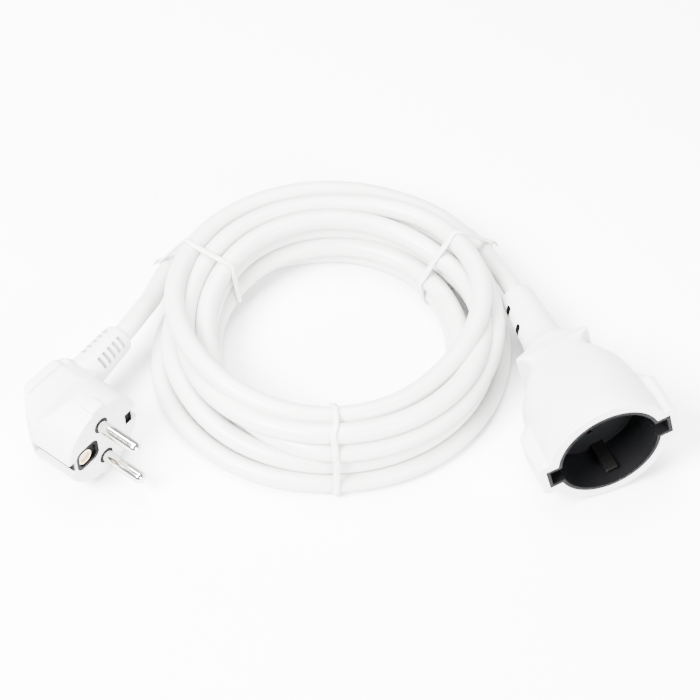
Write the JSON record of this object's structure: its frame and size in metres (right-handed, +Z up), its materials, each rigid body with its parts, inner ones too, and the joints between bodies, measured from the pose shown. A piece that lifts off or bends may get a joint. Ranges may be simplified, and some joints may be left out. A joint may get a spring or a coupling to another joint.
{
  "type": "mains extension cord",
  "caption": "Tied coil of white three-core cord with an angled earthed plug and a trailing earthed socket with a turning safety shutter.",
  "frame": {"origin": "on the ground under the middle of the trailing socket's bounding box", "axes": "+Z up, -Y the way the socket's mouth faces, +X to the right of the socket, so that the coil and the plug lie on the -X side"},
  "size_m": [0.2289, 0.1704, 0.0501],
  "materials": {
    "white_pvc": "satin soft white PVC overmoulding",
    "cord_pvc": "smooth white PVC jacket",
    "tie_pvc": "white coated wire tie",
    "black_plastic": "moulded, fine satin",
    "grey_plastic": "moulded",
    "red_plastic": "moulded",
    "nickel": "nickel-plated, bright",
    "spring_strip": "plated spring strip",
    "brass": "drawn",
    "tin": "tinned",
    "core_brown": "core insulation",
    "core_blue": "core insulation",
    "core_green_yellow": "core insulation"
  },
  "bodies": {
    "cord_set": {"plug_overmould": "white_pvc", "plug_bridge": "black_plastic", "plug_pin_line": "nickel", "plug_pin_neutral": "nickel", "plug_earth_bracket": "spring_strip", "plug_earth_sleeve": "brass", "plug_crimps": "tin", "plug_core_brown": "core_brown", "plug_core_blue": "core_blue", "plug_core_green_yellow": "core_green_yellow", "cord_plug_lead": "cord_pvc", "cord_coil": "cord_pvc", "cord_socket_lead": "cord_pvc", "tie_left": "tie_pvc", "tie_right": "tie_pvc", "tie_front": "tie_pvc", "socket_shell": "white_pvc", "socket_well": "black_plastic", "socket_carrier": "grey_plastic", "socket_contact_line": "brass", "socket_contact_neutral": "brass", "socket_earth_clip": "spring_strip", "shutter_spring": "spring_strip", "shutter_pivot": "spring_strip", "socket_crimps": "tin", "socket_core_brown": "core_brown", "socket_core_blue": "core_blue", "socket_core_green_yellow": "core_green_yellow"},
    "shutter": {"socket_shutter": "red_plastic"}
  },
  "joints": [
    {"name": "shutter_turn", "type": "hinge", "parent": "cord_set", "child": "shutter", "pos_m": [0, -0.02151, 0.02377], "axis": [0, 0.9976, -0.0698], "range_deg": [0, 38], "stiffness_Nm_per_rad": 0.004, "springref_deg": -17.19}
  ]
}
